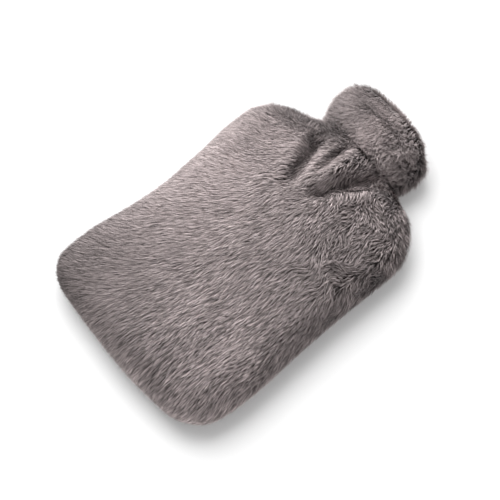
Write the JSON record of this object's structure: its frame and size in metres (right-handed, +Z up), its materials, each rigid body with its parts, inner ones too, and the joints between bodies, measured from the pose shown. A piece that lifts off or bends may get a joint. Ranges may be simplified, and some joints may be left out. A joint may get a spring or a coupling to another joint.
{
  "type": "hot water bottle cover",
  "caption": "Hollow plush cover lying flat, with rolled sides, a gathered neck and a short sleeve collar open at its mouth; holds a hot water bottle.",
  "frame": {"origin": "middle of the cover's footprint, on the surface that it lies on", "axes": "+Y along the cover from its bottom edge to the mouth of its collar, +Z up out of its front"},
  "size_m": [0.2234, 0.3564, 0.0679],
  "materials": {
    "plush": "long soft pile, matt, pinkish taupe grey"
  },
  "bodies": {
    "root": {"front_panel": "plush", "back_panel": "plush", "collar": "plush"}
  },
  "joints": []
}
